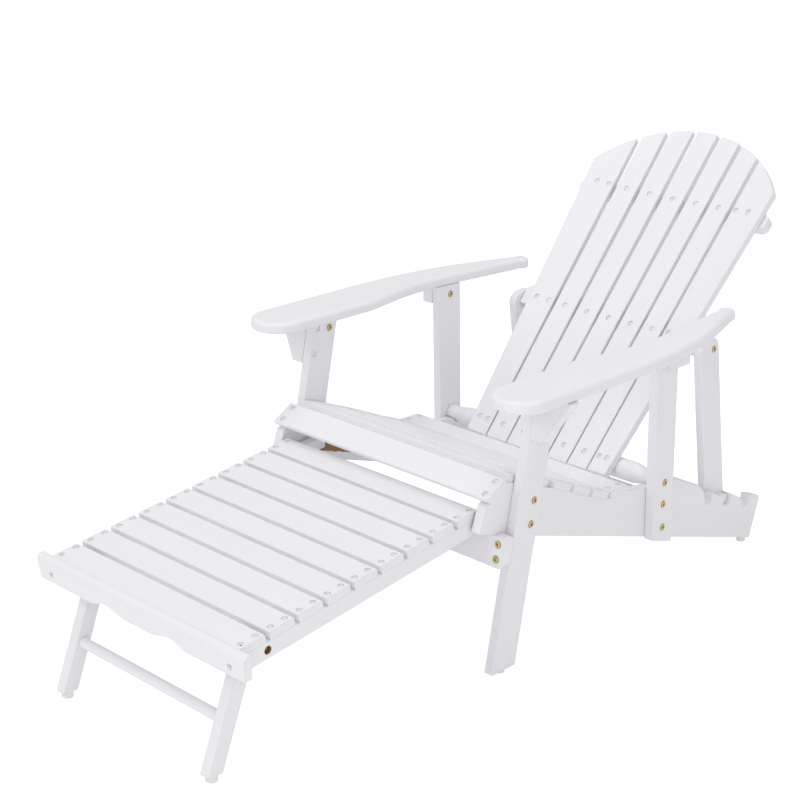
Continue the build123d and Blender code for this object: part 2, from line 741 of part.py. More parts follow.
with BuildPart() as support_rod:
    with Locations(on_face(0, *BAIL_ROD, 1)):
        Cylinder(BAIL_ROD_R, 2 * BAIL_ROD_HALF)
    chamfer(support_rod.edges().filter_by(GeomType.CIRCLE), length=ROD_CHAMFER)
save(support_rod, "support_rod")

with BuildPart() as support_bolts:
    for side in (1, -1):
        add_bolt(on_face(side * bail_out, *BAIL_PIVOT, side), BAIL_BOLT)
save(support_bolts, "support_bolts")

# ---------------------------------------------------------------- glide rod under the ottoman
with BuildPart() as ottoman_glide_rod:
    with Locations(on_face(0, GLIDE_ROD_Y, glide_rod_z, 1)):
        Cylinder(GLIDE_ROD_R, 2 * GLIDE_ROD_HALF)
save(ottoman_glide_rod, "ottoman_glide_rod")

# ---------------------------------------------------------------- ottoman
otto_tilt = atan(OTTO_RISE)


def otto_plane(x=0):
    """Local x runs up the ottoman towards the rear, local y square off its top."""
    return Plane(
        origin=(x, OTTO_START[0] + DATUM, OTTO_START[1]),
        x_dir=(0, cos(otto_tilt), sin(otto_tilt)),
        z_dir=(1, 0, 0),
    )


def otto_point(along, off):
    y = OTTO_START[0] + along * cos(otto_tilt) - off * sin(otto_tilt)
    z = OTTO_START[1] + along * sin(otto_tilt) + off * cos(otto_tilt)
    return (y, z)


def otto_screws(index, side):
    seats = []
    for offset in (-SCREW_STEP, SCREW_STEP):
        along = OTTO_FIRST + OTTO_PITCH * index + SLAT_W / 2 + offset
        origin = otto_plane().from_local_coords((along, 0, side * OTTO_SCREW_X))
        seats.append(Plane(origin=origin, x_dir=(1, 0, 0), z_dir=otto_plane().y_dir))
    return seats


leg_pivot = otto_point(*OLEG_PIVOT)


def apron_screw(side):
    local = (OTTO_FIRST - APRON_THICK, APRON_SCREW_OFF, side * OTTO_SCREW_X)
    origin = otto_plane().from_local_coords(local)
    return Plane(origin=origin, x_dir=(1, 0, 0), z_dir=-otto_plane().x_dir)


for index in range(OTTO_SLATS):
    with BuildPart() as ottoman_slat:
        with BuildSketch(otto_plane()):
            with Locations((OTTO_FIRST + OTTO_PITCH * index + SLAT_W / 2, -SLAT_THICK / 2)):
                RectangleRounded(SLAT_W, SLAT_THICK, EASE)
        extrude(amount=OTTO_HALF, both=True)
        for side in (1, -1):
            for seat in otto_screws(index, side):
                cut_screw(seat, SLAT_SCREW)
    save(ottoman_slat, f"ottoman_slat_{index + 1}")

slats_end = OTTO_FIRST + OTTO_PITCH * (OTTO_SLATS - 1) + SLAT_W
step_from, step_to = OTTO_TAIL_STEP
for side, name in SIDES:
    with BuildPart() as ottoman_rail:
        with BuildSketch(otto_plane(side * OTTO_HALF)):
            with BuildLine():
                Polyline(
                    (OTTO_FIRST, -SLAT_THICK), (slats_end + step_from, -SLAT_THICK),
                    (slats_end + step_to, -OTTO_TAIL_TOP), (OTTO_TAIL, -OTTO_TAIL_TOP),
                    (OTTO_TAIL, -OTTO_DEEP), (OTTO_FIRST, -OTTO_DEEP),
                    close=True,
                )
            make_face()
            fillet(vertices().group_by(Axis.X)[-1].sort_by(Axis.Y)[-1], radius=OTTO_TAIL_ROUND)
        extrude(amount=-side * BOARD)
        cut_hole(on_face(side * OTTO_HALF, *leg_pivot, side), RECESS_R, RECESS)
        cut_hole(on_face(side * OTTO_HALF, *leg_pivot, side), SHANK_R, THROUGH)
        for index in range(OTTO_SLATS):
            for seat in otto_screws(index, side):
                cut_hole(seat, PILOT_R, SLAT_SCREW)
        cut_hole(apron_screw(side), PILOT_R, APRON_SCREW)
    save(ottoman_rail, f"ottoman_rail_{name}")

apron_front = otto_plane().from_local_coords((OTTO_FIRST - APRON_THICK, 0, 0))
apron_plane = Plane(origin=apron_front, x_dir=(1, 0, 0), z_dir=-otto_plane().x_dir)
with BuildPart() as ottoman_apron:
    with BuildSketch(apron_plane):
        with BuildLine():
            level = ((-1, 0), (-1, 0))
            right_arch = [(APRON_ARCH_HALF, -OTTO_DEEP), *APRON_ARCH, (0, -OTTO_DEEP)]
            left_arch = [(-x, off) for x, off in reversed(right_arch)]
            Spline(*right_arch, tangents=level)
            Spline(*left_arch, tangents=level)
            Polyline(
                (-APRON_ARCH_HALF, -OTTO_DEEP), (APRON_TAPER - APRON_HALF, -OTTO_DEEP),
                (-APRON_HALF, 0), (APRON_HALF, 0),
                (APRON_HALF - APRON_TAPER, -OTTO_DEEP), (APRON_ARCH_HALF, -OTTO_DEEP),
            )
        make_face()
    extrude(amount=-APRON_THICK)
    front_face = ottoman_apron.faces().sort_by(Axis.Y)[0]
    front_top = front_face.edges().filter_by(Axis.X).sort_by(Axis.Z)[-1]
    fillet(front_top, radius=APRON_ROUND)
    for side in (1, -1):
        cut_screw(apron_screw(side), APRON_SCREW)
save(ottoman_apron, "ottoman_apron")

with BuildPart() as ottoman_screws:
    for side in (1, -1):
        for index in range(OTTO_SLATS):
            for seat in otto_screws(index, side):
                add_screw(seat, SLAT_SCREW)
        add_screw(apron_screw(side), APRON_SCREW)
save(ottoman_screws, "ottoman_screws")

# ---------------------------------------------------------------- folding legs of the ottoman
leg_lean = atan2(OLEG_FOOT[0] - leg_pivot[0], leg_pivot[1] - OLEG_FOOT[1])


def oleg_plane(x):
    """Local y runs up the ottoman's leg, from its pivot."""
    return Plane(
        origin=(x, leg_pivot[0] + DATUM, leg_pivot[1]),
        x_dir=(0, cos(leg_lean), sin(leg_lean)),
        z_dir=(1, 0, 0),
    )


oleg_rod = Plane(
    origin=oleg_plane(0).from_local_coords((0, -OLEG_ROD_AT, 0)), x_dir=(0, 1, 0), z_dir=(1, 0, 0),
)
for side, name in SIDES:
    with BuildPart() as ottoman_leg:
        with BuildSketch(oleg_plane(side * OLEG_IN)):
            SlotCenterToCenter(1, OLEG_W, rotation=90)
            with Locations((0, -OLEG_BLANK / 2)):
                Rectangle(OLEG_W, OLEG_BLANK)
        extrude(amount=side * OLEG_THICK)
        split(bisect_by=Plane.XY.offset(OLEG_FOOT[1]), keep=Keep.TOP)
        cut_hole(on_face(side * OTTO_HALF, *leg_pivot, side), BORE_R, OTTO_HALF - OLEG_IN + CLEAR)
        with Locations(oleg_rod):
            Cylinder(OLEG_TENON_R, 2 * (OLEG_IN + OLEG_TENON), mode=Mode.SUBTRACT)
    save(ottoman_leg, f"ottoman_leg_{name}")

with BuildPart() as ottoman_leg_rod:
    with Locations(oleg_rod):
        Cylinder(OLEG_ROD_R, 2 * OLEG_IN)
        Cylinder(OLEG_TENON_R, 2 * (OLEG_IN + OLEG_TENON))
save(ottoman_leg_rod, "ottoman_leg_rod")

with BuildPart() as ottoman_leg_bolts:
    for side in (1, -1):
        with Locations(on_face(side * (OTTO_HALF - RECESS), *leg_pivot, side)):
            Cylinder(HEAD_R, HEAD, align=HIGH)
            Cylinder(SHANK_R, OTTO_HALF - RECESS - OLEG_IN + BOLT_END, align=LOW)
        with Locations(on_face(side * (OTTO_HALF - BOARD), *leg_pivot, side)):
            Cylinder(SPACER_R, OTTO_HALF - BOARD - OLEG_IN - OLEG_THICK - GAP, align=LOW)
save(ottoman_leg_bolts, "ottoman_leg_bolts")

with BuildPart() as ottoman_glides:
    for side in (1, -1):
        middle_x = side * (OLEG_IN + OLEG_THICK / 2)
        with Locations((middle_x, OLEG_FOOT[0] + DATUM, 0)):
            Cylinder(OLEG_GLIDE_R, OLEG_FOOT[1], align=HIGH)
save(ottoman_glides, "ottoman_glides")
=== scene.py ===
import json
import math

import bmesh
import bpy
import numpy as np
from mathutils import Matrix, Vector


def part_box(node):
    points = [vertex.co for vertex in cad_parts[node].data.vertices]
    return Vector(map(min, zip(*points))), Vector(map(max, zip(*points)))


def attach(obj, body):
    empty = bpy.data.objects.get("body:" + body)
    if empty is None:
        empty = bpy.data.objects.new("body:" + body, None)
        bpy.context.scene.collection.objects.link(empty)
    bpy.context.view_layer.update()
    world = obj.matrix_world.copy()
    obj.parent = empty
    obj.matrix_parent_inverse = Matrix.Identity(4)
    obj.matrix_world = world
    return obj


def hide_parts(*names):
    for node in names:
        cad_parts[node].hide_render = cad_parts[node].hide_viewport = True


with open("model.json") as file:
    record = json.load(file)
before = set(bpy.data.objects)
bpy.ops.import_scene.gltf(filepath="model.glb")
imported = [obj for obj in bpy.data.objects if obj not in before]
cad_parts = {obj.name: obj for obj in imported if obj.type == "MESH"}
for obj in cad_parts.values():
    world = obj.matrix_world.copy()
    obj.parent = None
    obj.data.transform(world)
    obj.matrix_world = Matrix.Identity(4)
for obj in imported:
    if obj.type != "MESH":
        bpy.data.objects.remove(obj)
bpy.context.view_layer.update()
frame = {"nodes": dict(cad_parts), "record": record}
NODES = frame["nodes"]
RECORD = frame["record"]


def joint_place(name):
    entry = next(item for item in RECORD["behaviour"]["joints"] if item["name"] == name)
    return Vector(entry["pos_m"])


def slot_color(name):
    entry = next(item for item in RECORD["materials"] if item["slot"] == name)
    return tuple(entry["base_color"][:3]) + (1.0,)


# ------------------------------------------------------------ direction of a board's grain
def long_axis(node):
    """The way a node's longest side runs, from its own points."""
    mesh = NODES[node].data
    points = np.empty(len(mesh.vertices) * 3)
    mesh.vertices.foreach_get("co", points)
    points = points.reshape(-1, 3)
    spread = np.cov((points - points.mean(axis=0)).T)
    return Vector(np.linalg.eigh(spread)[1][:, -1])


# ------------------------------------------------------------ materials
# the Mix node's colour sockets, which share their names with its other sockets
MIX_FIRST = 6
MIX_SECOND = 7
MIX_RESULT = 2


class Nodes:
    """A short way to build a node tree."""

    def __init__(self, name):
        self.material = bpy.data.materials.new(name)
        self.material.use_nodes = True
        self.tree = self.material.node_tree
        self.shader = self.tree.nodes["Principled BSDF"]

    def add(self, kind, settings=None, **inputs):
        node = self.tree.nodes.new(kind)
        for key, value in (settings or {}).items():
            setattr(node, key, value)
        for key, value in inputs.items():
            self.put(node.inputs[key.replace("_", " ")], value)
        return node

    def put(self, socket, value):
        if isinstance(value, bpy.types.NodeSocket):
            self.tree.links.new(value, socket)
        else:
            socket.default_value = value

    def math(self, operation, first, second):
        node = self.tree.nodes.new("ShaderNodeMath")
        node.operation = operation
        self.put(node.inputs[0], first)
        self.put(node.inputs[1], second)
        return node.outputs[0]

    def share(self, value, part):
        return self.math("MULTIPLY", value, part)

    def ramp(self, value, low, high, to_low=0.0, to_high=1.0):
        node = self.tree.nodes.new("ShaderNodeMapRange")
        self.put(node.inputs["Value"], value)
        ends = {"From Min": low, "From Max": high, "To Min": to_low, "To Max": to_high}
        for key, number in ends.items():
            self.put(node.inputs[key], number)
        return node.outputs["Result"]

    def blend(self, factor, first, second):
        node = self.tree.nodes.new("ShaderNodeMix")
        node.data_type = "RGBA"
        self.put(node.inputs["Factor"], factor)
        self.put(node.inputs[MIX_FIRST], first)
        self.put(node.inputs[MIX_SECOND], second)
        return node.outputs[MIX_RESULT]

    def bump(self, height, strength, distance, **inputs):
        """Raises the surface by the height and gives the result to the shader."""
        node = self.add("ShaderNodeBump", Height=height, Strength=strength, Distance=distance, **inputs)
        self.put(self.shader.inputs["Normal"], node.outputs["Normal"])


# paint: scale of each noise across and along the board, and its detail
GRAIN_LAYERS = {
    "fine": ((260, 260, 5), 5.0),
    "broad": ((46, 46, 1.6), 3.0),
    "brush": ((900, 900, 7), 2.0),
}
PEEL_SCALE = 420.0
BLOTCH_SCALE = 9.0
OWN_SPREAD = 37.0         # keeps the boards' own numbers apart in the noise
SHADE = (0.965, 0.965, 0.95)
PORE_TINT = (0.62, 0.60, 0.56, 1.0)
# colour of the painted shade in creases and corners
CREASE_SHADE_TINT = (0.56, 0.545, 0.52, 1.0)
WORN_TINT = (0.70, 0.63, 0.53, 1.0)
SHADE_SHARE = 0.55
PORE_SHARE = 0.10
# how much of the painted shade in creases goes into the colour
CREASE_SHADE_SHARE = 0.45
WORN_SHARE = 0.30
# how far the ambient occlusion reaches for the painted shade in creases
CREASE_SHADE_REACH = 0.014
EDGE_ROUND = 0.0016
# and how much of each noise goes into the relief
RELIEF = {"broad": 0.9, "fine": 0.55, "brush": 0.18}
PEEL_RELIEF = 0.12


def grain_coords(build, direction):
    """Object coordinates with Z along the board, and a number of its own for each board."""
    coords = build.add("ShaderNodeTexCoord").outputs["Object"]
    turn = direction.to_track_quat("Z", "Y").to_matrix().inverted().to_euler()
    mapping = build.add("ShaderNodeMapping", Vector=coords)
    mapping.inputs["Rotation"].default_value = turn
    own = build.add("ShaderNodeObjectInfo").outputs["Random"]
    return mapping.outputs["Vector"], build.share(own, OWN_SPREAD)


def board_noise(build, along, own, scale, detail, rough):
    """Noise that differs from board to board; scale is one number or one for each axis."""
    if isinstance(scale, tuple):
        mapping = build.add("ShaderNodeMapping", Vector=along)
        mapping.inputs["Scale"].default_value = scale
        along = mapping.outputs["Vector"]
        scale = 1.0
    return build.add(
        "ShaderNodeTexNoise", {"noise_dimensions": "4D"},
        Vector=along, W=own, Scale=scale, Detail=detail, Roughness=rough,
    ).outputs["Fac"]


def painted_wood(name, direction, color):
    """White paint over wood: faint grain, brush marks, soft edges, painted shade and rougher paint in the
    corners, small nicks.
    """
    build = Nodes(name)
    along, own = grain_coords(build, direction)
    noise = {}
    for key, (scale, detail) in GRAIN_LAYERS.items():
        noise[key] = board_noise(build, along, own, scale, detail, 0.6)
    orange_peel = board_noise(build, along, own, PEEL_SCALE, 2.0, 0.5)
    blotch = board_noise(build, along, own, BLOTCH_SCALE, 3.0, 0.55)

    tone = build.ramp(noise["broad"], 0.35, 0.65)
    shade = tuple(channel * part for channel, part in zip(color, SHADE)) + (1.0,)
    base = build.blend(build.share(tone, SHADE_SHARE), color, shade)
    pores = build.ramp(noise["fine"], 0.62, 0.74)
    base = build.blend(build.share(pores, PORE_SHARE), base, PORE_TINT)
    # painted shade: the paint darkens in blotches in creases and corners where the ambient occlusion
    # finds them; the same mask also makes the paint a little rougher there
    hollow = build.add("ShaderNodeAmbientOcclusion", {"samples": 6}, Distance=CREASE_SHADE_REACH).outputs["AO"]
    patchy = build.ramp(blotch, 0.3, 0.7, 0.25, 0.8)
    dust_and_crease_shade = build.math("MULTIPLY", build.ramp(hollow, 0.75, 0.15), patchy)
    base = build.blend(build.share(dust_and_crease_shade, CREASE_SHADE_SHARE), base, CREASE_SHADE_TINT)

    soft = build.add("ShaderNodeBevel", {"samples": 4}, Radius=EDGE_ROUND).outputs["Normal"]
    hard = build.add("ShaderNodeNewGeometry").outputs["Normal"]
    agree = build.add("ShaderNodeVectorMath", {"operation": "DOT_PRODUCT"})
    build.put(agree.inputs[0], soft)
    build.put(agree.inputs[1], hard)
    edge = build.ramp(agree.outputs["Value"], 0.985, 0.90)
    worn = build.math("MULTIPLY", edge, build.ramp(noise["broad"], 0.60, 0.72))
    base = build.blend(build.share(worn, WORN_SHARE), base, WORN_TINT)
    build.put(build.shader.inputs["Base Color"], base)

    rough = build.ramp(noise["fine"], 0.3, 0.7, 0.36, 0.50)
    rough = build.math("ADD", rough, build.ramp(blotch, 0.3, 0.7, -0.04, 0.05))
    # rougher paint in the creases, from the same mask as the painted shade
    rough = build.math("ADD", rough, build.share(dust_and_crease_shade, 0.2))
    build.put(build.shader.inputs["Roughness"], rough)
    build.shader.inputs["Specular IOR Level"].default_value = 0.45
    build.shader.inputs["Coat Weight"].default_value = 0.12
    build.shader.inputs["Coat Roughness"].default_value = 0.32

    height = build.share(orange_peel, PEEL_RELIEF)
    for key, part in RELIEF.items():
        height = build.math("ADD", height, build.share(noise[key], part))
    build.bump(height, 0.34, 0.0006, Normal=soft)
    return build.material


RAW_SCALE = (700, 700, 60)
RAW_DARK = 0.45           # pores, as a share of the wood's colour


def raw_wood(name, direction, color):
    """Bare wood: open grain, rough, darker pores."""
    build = Nodes(name)
    along, own = grain_coords(build, direction)
    grain = board_noise(build, along, own, RAW_SCALE, 6.0, 0.65)
    dark = tuple(channel * RAW_DARK for channel in color[:3]) + (1.0,)
    base = build.blend(build.ramp(grain, 0.35, 0.65), color, dark)
    build.put(build.shader.inputs["Base Color"], base)
    build.put(build.shader.inputs["Roughness"], build.ramp(grain, 0.2, 0.8, 0.6, 0.9))
    build.bump(grain, 0.6, 0.0005)
    return build.material


TURNING_SCALE = 1900.0
MOTTLE_SCALE = 240.0
# reach and colour of the painted shade in the recesses of screws and bolts and where they meet the wood
RECESS_SHADE_REACH = 0.003
RECESS_SHADE_TINT = (0.05, 0.045, 0.04, 1.0)


def plated(name, color, dull, rough_low, rough_high, grime_and_recess_shade, metallic):
    """Plated steel: fine turning marks, blotches of dull plating, painted shade in the recess and where
    it meets the wood.
    """
    build = Nodes(name)
    coords = build.add("ShaderNodeTexCoord").outputs["Object"]
    marks = build.add("ShaderNodeTexNoise", Vector=coords, Scale=TURNING_SCALE, Detail=4.0, Roughness=0.7)
    blotch = build.add("ShaderNodeTexNoise", Vector=coords, Scale=MOTTLE_SCALE, Detail=3.0, Roughness=0.6)
    mottle = build.ramp(blotch.outputs["Fac"], 0.42, 0.68)
    base = build.blend(mottle, color, dull)
    # painted shade: the plating darkens in the head's recess and where it meets the wood, wherever the
    # ambient occlusion finds them
    hollow = build.add("ShaderNodeAmbientOcclusion", {"samples": 6}, Distance=RECESS_SHADE_REACH).outputs["AO"]
    base = build.blend(build.ramp(hollow, 0.55, 0.1, 0.0, grime_and_recess_shade), base, RECESS_SHADE_TINT)
    build.put(build.shader.inputs["Base Color"], base)
    build.shader.inputs["Metallic"].default_value = metallic
    rough = build.ramp(marks.outputs["Fac"], 0.3, 0.7, rough_low, rough_high)
    build.put(build.shader.inputs["Roughness"], build.math("ADD", rough, build.share(mottle, 0.12)))
    build.bump(marks.outputs["Fac"], 0.25, 0.0001)
    return build.material


SCUFF_SCALE = 160.0
SKIN_SCALE = 1500.0
SCUFF_TINT = (0.72, 0.70, 0.66)  # as a share of the plastic's colour


def plastic(name, color):
    """Moulded plastic: faint scuffs and a satin skin."""
    build = Nodes(name)
    coords = build.add("ShaderNodeTexCoord").outputs["Object"]
    scuff = build.add("ShaderNodeTexNoise", Vector=coords, Scale=SCUFF_SCALE, Detail=6.0, Roughness=0.7)
    skin = build.add("ShaderNodeTexNoise", Vector=coords, Scale=SKIN_SCALE, Detail=2.0, Roughness=0.5)
    dirt = build.ramp(scuff.outputs["Fac"], 0.52, 0.70)
    grime_and_recess_shade = tuple(channel * part for channel, part in zip(color, SCUFF_TINT)) + (1.0,)
    build.put(build.shader.inputs["Base Color"], build.blend(build.share(dirt, 0.6), color, grime_and_recess_shade))
    build.put(build.shader.inputs["Roughness"], build.ramp(scuff.outputs["Fac"], 0.3, 0.7, 0.32, 0.52))
    build.bump(skin.outputs["Fac"], 0.2, 0.0002)
    return build.material


WHITE = slot_color("white_frame")
BRIGHT_SILVER = (0.93, 0.93, 0.94, 1.0)
DULL_SILVER = (0.74, 0.74, 0.76, 1.0)
DULL_GOLD = (0.50, 0.36, 0.17, 1.0)
# the next to last number is how dark the painted shade in the recesses gets
SILVER = plated("silver_plating", BRIGHT_SILVER, DULL_SILVER, 0.34, 0.52, 0.35, 0.55)
GOLD = plated("gold_plating", slot_color("gold_bolt"), DULL_GOLD, 0.28, 0.45, 0.75, 1.0)
ALONG_RAIL = Vector((0, 0.953, -0.303))
BARE = raw_wood("bare_wood", ALONG_RAIL, slot_color("raw_wood"))
GLIDE = plastic("glide_plastic", slot_color("glide"))

DIRECTION_DIGITS = 1      # boards whose directions agree to this many digits share a paint
paints = {}


def paint_for(node):
    """The paint whose grain runs along the node; nodes with the same direction share it."""
    direction = long_axis(node)
    if direction[max(range(3), key=lambda k: abs(direction[k]))] < 0:
        direction = -direction
    key = tuple(round(value, DIRECTION_DIGITS) for value in direction)
    if key not in paints:
        paints[key] = painted_wood(f"white_paint_{len(paints) + 1}", direction, WHITE)
    return paints[key]


def dress(obj, material):
    obj.data.materials.clear()
    obj.data.materials.append(material)


# ------------------------------------------------------------ helpers for pieces
WELD = 1e-6
HEAD_BAND = 0.0008        # how much of a fastener's end tells whether it is the head


def islands(node):
    """The separate solids of a node, each measured as a fastener."""
    mesh = NODES[node].data
    solid = bmesh.new()
    solid.from_mesh(mesh)
    bmesh.ops.remove_doubles(solid, verts=solid.verts, dist=WELD)
    left = set(solid.verts)
    found = []
    while left:
        group = {left.pop()}
        edge_of = set(group)
        while edge_of:
            near = {other for vert in edge_of for edge in vert.link_edges for other in edge.verts}
            edge_of = near & left
            left -= edge_of
            group |= edge_of
        points = np.array([vert.co[:] for vert in group])
        found.append(points)
    solid.free()
    found.sort(key=lambda points: tuple(points.mean(axis=0).round(4)))
    return [measure(points) for points in found]


def measure(points):
    """A fastener's tip at its head, its other end, the axis out of the wood and the head's radius."""
    mid = points.mean(axis=0)
    axis = np.linalg.eigh(np.cov((points - mid).T))[1][:, -1]
    along = (points - mid) @ axis
    radial = np.linalg.norm((points - mid) - np.outer(along, axis), axis=1)
    top, bottom = along.max(), along.min()
    wide_top = radial[along > top - HEAD_BAND].max()
    wide_bottom = radial[along < bottom + HEAD_BAND].max()
    if wide_bottom > wide_top:
        axis, top, bottom = -axis, -bottom, -top
        wide_top = wide_bottom
    on_axis = (points - mid) - np.outer((points - mid) @ axis, axis)
    mid = mid + (on_axis.max(axis=0) + on_axis.min(axis=0)) / 2
    return {
        "tip": Vector(mid + axis * top), "end": Vector(mid + axis * bottom),
        "axis": Vector(axis), "radius": float(wide_top),
    }


def lathe(solid, profile, matrix, steps=28):
    """Turns a profile of radius and height round the matrix's Z axis."""
    rings = []
    for radius, height in profile:
        if radius < WELD:
            rings.append([solid.verts.new(matrix @ Vector((0, 0, height)))])
            continue
        ring = []
        for step in range(steps):
            angle = math.tau * step / steps
            spot = Vector((radius * math.cos(angle), radius * math.sin(angle), height))
            ring.append(solid.verts.new(matrix @ spot))
        rings.append(ring)
    for lower, upper in zip(rings, rings[1:]):
        for step in range(steps):
            after = (step + 1) % steps
            if len(upper) == 1:
                face = solid.faces.new((lower[step], lower[after], upper[0]))
            else:
                face = solid.faces.new((lower[step], lower[after], upper[after], upper[step]))
            face.smooth = True


def frame_at(point, axis, spin=0.0):
    turn = axis.to_track_quat("Z", "Y").to_matrix().to_4x4()
    return Matrix.Translation(point) @ turn @ Matrix.Rotation(spin, 4, "Z")


def finish_mesh(solid, name, material):
    mesh = bpy.data.meshes.new(name)
    bmesh.ops.recalc_face_normals(solid, faces=solid.faces)
    solid.to_mesh(mesh)
    solid.free()
    mesh.materials.append(material)
    obj = bpy.data.objects.new(name, mesh)
    bpy.context.scene.collection.objects.link(obj)
    return obj


def add_bevel(obj, width):
    bevel = obj.modifiers.new("eased_edges", "BEVEL")
    bevel.width = width
    bevel.segments = 2
    bevel.limit_method = "ANGLE"
    bevel.angle_limit = math.radians(30)
    bevel.harden_normals = False


# ------------------------------------------------------------ fasteners
rng = np.random.default_rng(7)


# a screw from below its head to the floor of its recess: share of the radius, then height
SCREW_RIM = ((0.5, -0.0022), (1.0, -0.00035), (0.985, -0.0001), (0.93, 0.0))
SCREW_RECESS = ((1.05, -0.00005), (0.96, -0.0002), (0.62, -0.0011))
SCREW_STEPS = 40
CROSS_HALF = 0.17         # half width and reach of the cross, as shares of the head's radius
CROSS_REACH = 0.56
SCREW_SHANK = 0.5
SCREW_TURNS = 9
SCREW_PLAIN = 0.006       # plain shank at each end
SCREW_THREAD = 0.0006
# the same for a bolt, and its threads
BOLT_RIM = ((1.0, -0.0048), (1.0, -0.0013), (0.97, -0.0006), (0.88, -0.0001), (0.74, 0.0))
BOLT_SOCKET = ((1.08, -0.00008), (1.0, -0.0004), (0.98, -0.0032))
BOLT_STEPS = 36
SOCKET_HALF = 0.46        # half width of the hexagon, as a share of the head's radius
BOLT_SHANK = 0.0039
BOLT_TURNS = 8
BOLT_THREAD = 0.0011
THREADED = 0.010          # threads start this far from the end


def rings_of(solid, at, points, shells):
    return [
        [solid.verts.new(at @ Vector((x * share, y * share, height))) for x, y in points]
        for share, height in shells
    ]


def join_rings(solid, shells, smooth_below):
    """Faces between the rings, and one that closes the last ring."""
    steps = len(shells[0])
    for index, (lower, upper) in enumerate(zip(shells, shells[1:])):
        for step in range(steps):
            after = (step + 1) % steps
            face = solid.faces.new((lower[step], lower[after], upper[after], upper[step]))
            face.smooth = index < smooth_below
    solid.faces.new(shells[-1])


def cross_head(solid, spot, spin):
    """A countersunk wood screw: dished rim, cross recess with sloping walls, threaded shank."""
    radius = spot["radius"]
    long = (spot["tip"] - spot["end"]).length
    at = frame_at(spot["tip"], spot["axis"], spin)
    outer, inner = [], []
    for step in range(SCREW_STEPS):
        angle = math.tau * step / SCREW_STEPS
        outer.append((radius * math.cos(angle), radius * math.sin(angle)))
        big = max(abs(math.cos(angle)), abs(math.sin(angle)))
        small = min(abs(math.cos(angle)), abs(math.sin(angle)))
        size = radius * CROSS_REACH / big
        if small > WELD:
            size = min(size, radius * CROSS_HALF / small)
        inner.append((size * math.cos(angle), size * math.sin(angle)))
    shells = rings_of(solid, at, outer, SCREW_RIM) + rings_of(solid, at, inner, SCREW_RECESS)
    join_rings(solid, shells, 0)
    shank = radius * SCREW_SHANK
    profile = [(shank, SCREW_RIM[0][1])]
    for turn in range(SCREW_TURNS):
        height = -SCREW_PLAIN - (long - 2 * SCREW_PLAIN) * turn / SCREW_TURNS
        profile.append((shank * 0.72, height))
        profile.append((shank * 0.98, height - SCREW_THREAD))
        profile.append((shank * 0.72, height - 2 * SCREW_THREAD))
    profile.append((0.0, -long + 0.0002))
    lathe(solid, profile, at, steps=12)


def socket_head(solid, spot, spin):
    """A gold bolt with a hexagon socket: domed rim, sunk socket, shank with a few threads at its end."""
    radius = spot["radius"]
    long = (spot["tip"] - spot["end"]).length
    at = frame_at(spot["tip"], spot["axis"], spin)
    sector = math.pi / 3
    outer, inner = [], []
    for step in range(BOLT_STEPS):
        angle = math.tau * step / BOLT_STEPS
        outer.append((radius * math.cos(angle), radius * math.sin(angle)))
        size = radius * SOCKET_HALF / math.cos(angle % sector - sector / 2)
        inner.append((size * math.cos(angle), size * math.sin(angle)))
    shells = rings_of(solid, at, outer, BOLT_RIM) + rings_of(solid, at, inner, BOLT_SOCKET)
    join_rings(solid, shells, len(BOLT_RIM) - 1)
    under_head = BOLT_RIM[0][1]
    profile = [(radius, under_head), (BOLT_SHANK, under_head)]
    for turn in range(BOLT_TURNS):
        height = -long + THREADED - BOLT_THREAD * turn
        profile.append((BOLT_SHANK, height))
        profile.append((BOLT_SHANK * 0.84, height - BOLT_THREAD / 2))
    profile.append((0.0, -long + 0.0004))
    lathe(solid, profile, at, steps=18)


def fasteners(node, body, material, make):
    solid = bmesh.new()
    for spot in islands(node):
        make(solid, spot, float(rng.uniform(0, math.tau)))
    obj = finish_mesh(solid, f"{node}_detail", material)
    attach(obj, body)
    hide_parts(node)


for node, body in (("frame_screws", "frame"), ("back_screws", "backrest"), ("ottoman_screws", "ottoman")):
    fasteners(node, body, SILVER, cross_head)
for node, body in (("frame_bolts", "frame"), ("back_pivot_bolts", "frame"), ("support_bolts", "support")):
    fasteners(node, body, GOLD, socket_head)

# ------------------------------------------------------------ the foot rest's leg bolts
RAIL_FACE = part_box("ottoman_rail_left")[1][0]
RAIL_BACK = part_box("ottoman_rail_left")[0][0]
LEG_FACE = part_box("ottoman_leg_left")[1][0]
LEG_PIVOT = joint_place("ottoman_leg_fold")
RECESS_R = 0.0075
RECESS_DEEP = 0.0119
SPACER_R = 0.009
SPACER_BORE = 0.0042
SPACER_GAP = 0.0003       # between the spacer and the leg


def leg_bolt(solid, spot, spin):
    """The bolt in its recess and the turned spacer between rail and leg."""
    socket_head(solid, spot, spin)
    side = 1 if spot["axis"].x > 0 else -1
    face = Vector((side * RAIL_BACK, spot["tip"].y, spot["tip"].z))
    long = RAIL_BACK - LEG_FACE - SPACER_GAP
    at = frame_at(face, spot["axis"])
    lathe(solid, [
        (SPACER_BORE, 0.0), (SPACER_R * 0.94, 0.0), (SPACER_R, -0.0006),
        (SPACER_R, -long * 0.45), (SPACER_R * 0.97, -long * 0.5), (SPACER_R, -long * 0.55),
        (SPACER_R, -long + 0.0006), (SPACER_R * 0.94, -long), (SPACER_BORE, -long), (SPACER_BORE, 0.0),
    ], at)


fasteners("ottoman_leg_bolts", "ottoman", GOLD, leg_bolt)

